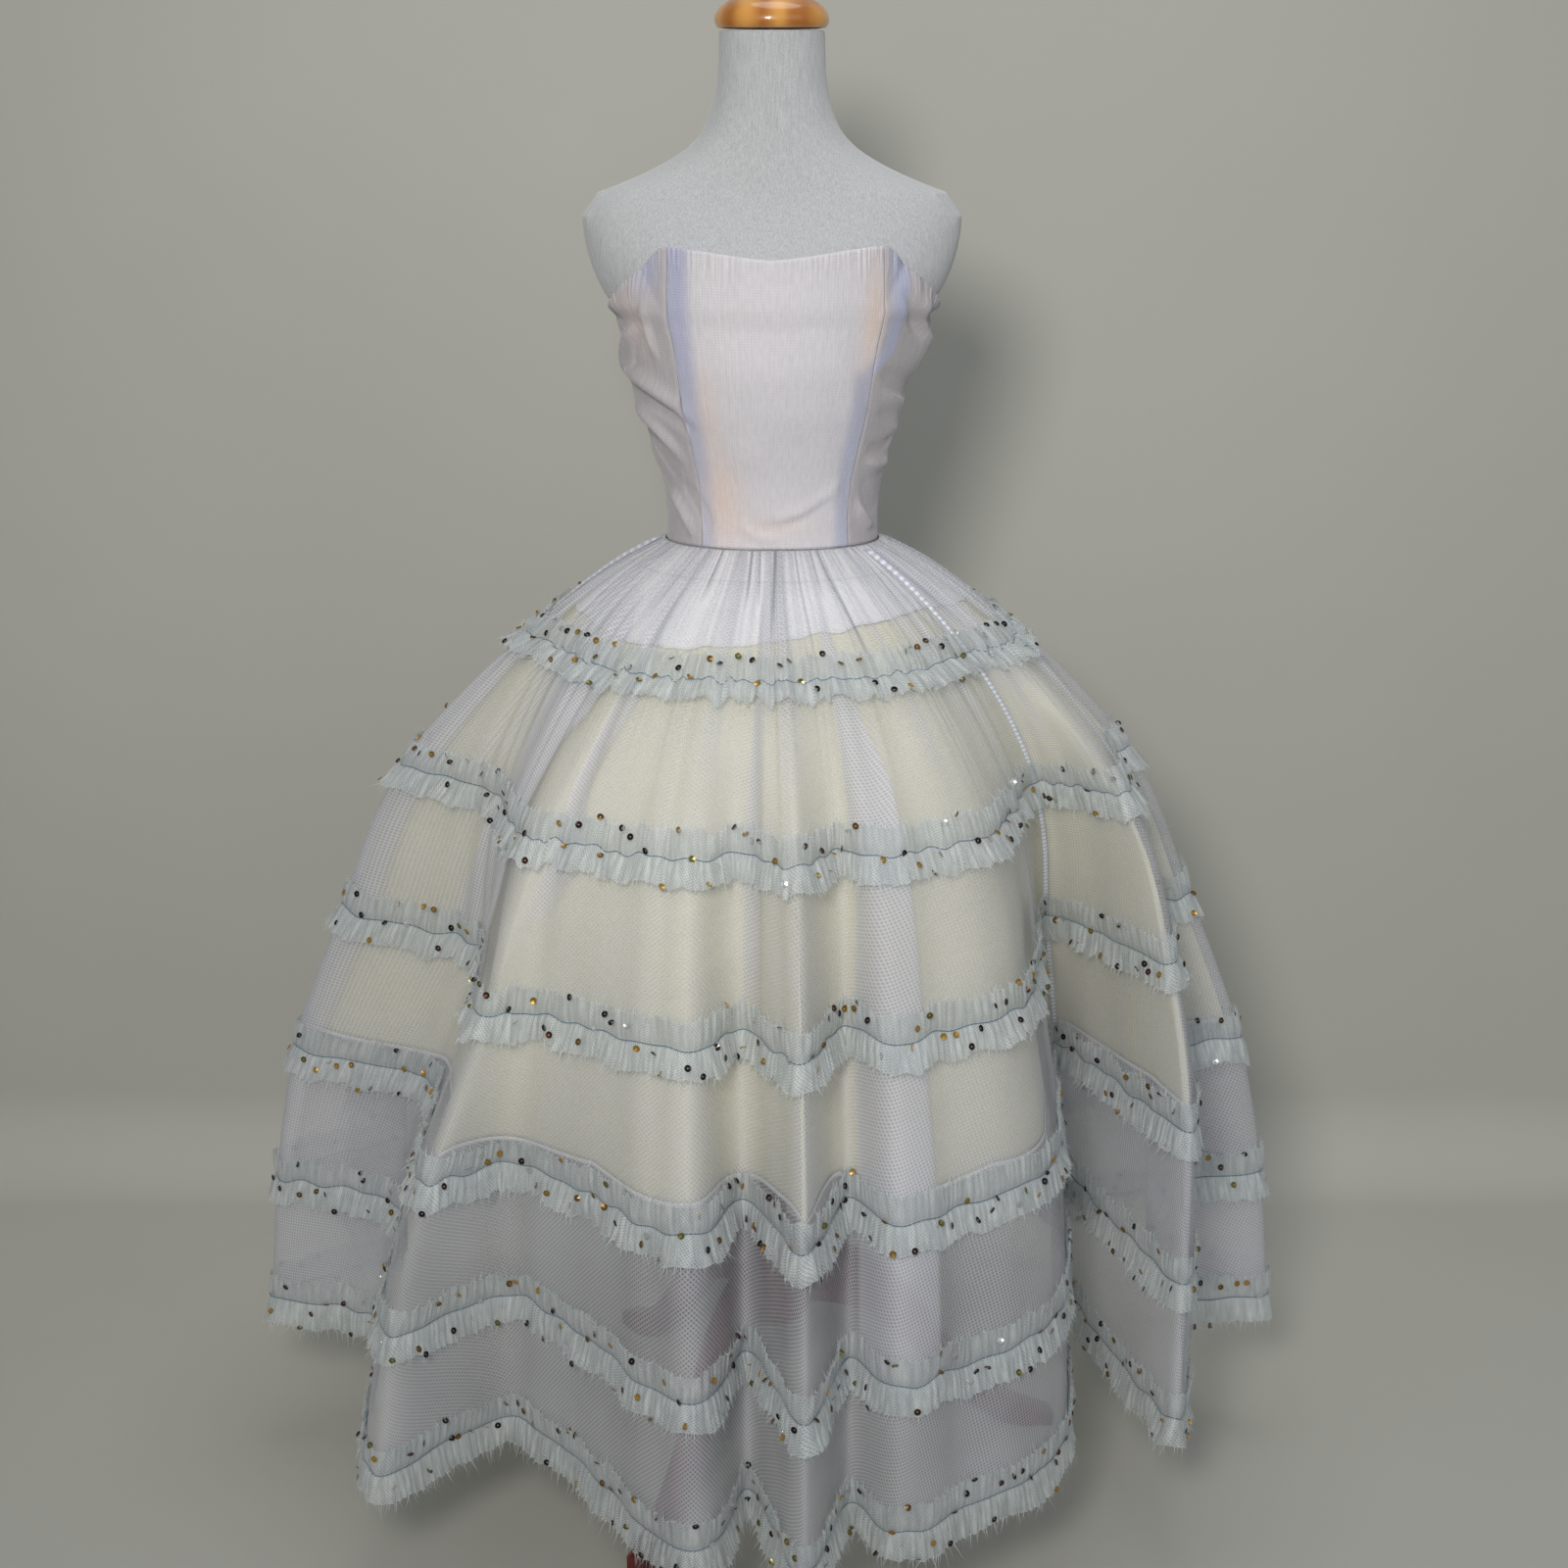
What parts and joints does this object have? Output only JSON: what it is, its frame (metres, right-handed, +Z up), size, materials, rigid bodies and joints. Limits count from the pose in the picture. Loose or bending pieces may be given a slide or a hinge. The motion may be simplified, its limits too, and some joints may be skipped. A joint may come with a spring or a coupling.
{
  "type": "prom dress on a dress form",
  "caption": "Strapless prom dress with a fitted bodice and a very full tiered net skirt, standing on a limbless dress form with a three-legged stand.",
  "frame": {"origin": "on the floor, under the middle of the whole; the dress form's axis stands there", "axes": "+Z up through the form's neck, -Y out of the front of the dress, +X to the right seen from the front"},
  "size_m": [1.1423, 1.1309, 1.5803],
  "materials": {
    "overskirt_net": "sheer woven net, pale lavender blue",
    "ruffle_net": "gathered stiff net, pale aqua blue, frayed edges",
    "yoke_cloth": "white lining taffeta",
    "underskirt_cloth": "cream taffeta",
    "bodice_cloth": "ribbed chiffon over a peach lining",
    "form_jersey": "light grey heathered jersey",
    "cap_wood": "golden varnish",
    "stand_wood": "dark red mahogany stain"
  },
  "bodies": {
    "root": {"dress_form": "form_jersey", "base_board": "stand_wood", "neck_cap": "cap_wood", "post": "stand_wood", "hub": "stand_wood", "leg_1": "stand_wood", "leg_2": "stand_wood", "leg_3": "stand_wood", "bodice_front": "bodice_cloth", "bodice_side_right": "bodice_cloth", "bodice_side_left": "bodice_cloth", "bodice_back_right": "bodice_cloth", "bodice_back_left": "bodice_cloth", "back_placket": "bodice_cloth", "skirt_front": "overskirt_net", "skirt_back_right": "overskirt_net", "skirt_back_left": "overskirt_net", "underskirt_yoke": "yoke_cloth", "underskirt_front": "underskirt_cloth", "underskirt_back": "underskirt_cloth", "ruffle_1": "ruffle_net", "ruffle_2": "ruffle_net", "ruffle_3": "ruffle_net", "ruffle_4": "ruffle_net", "ruffle_5": "ruffle_net", "ruffle_6": "ruffle_net"}
  },
  "joints": []
}
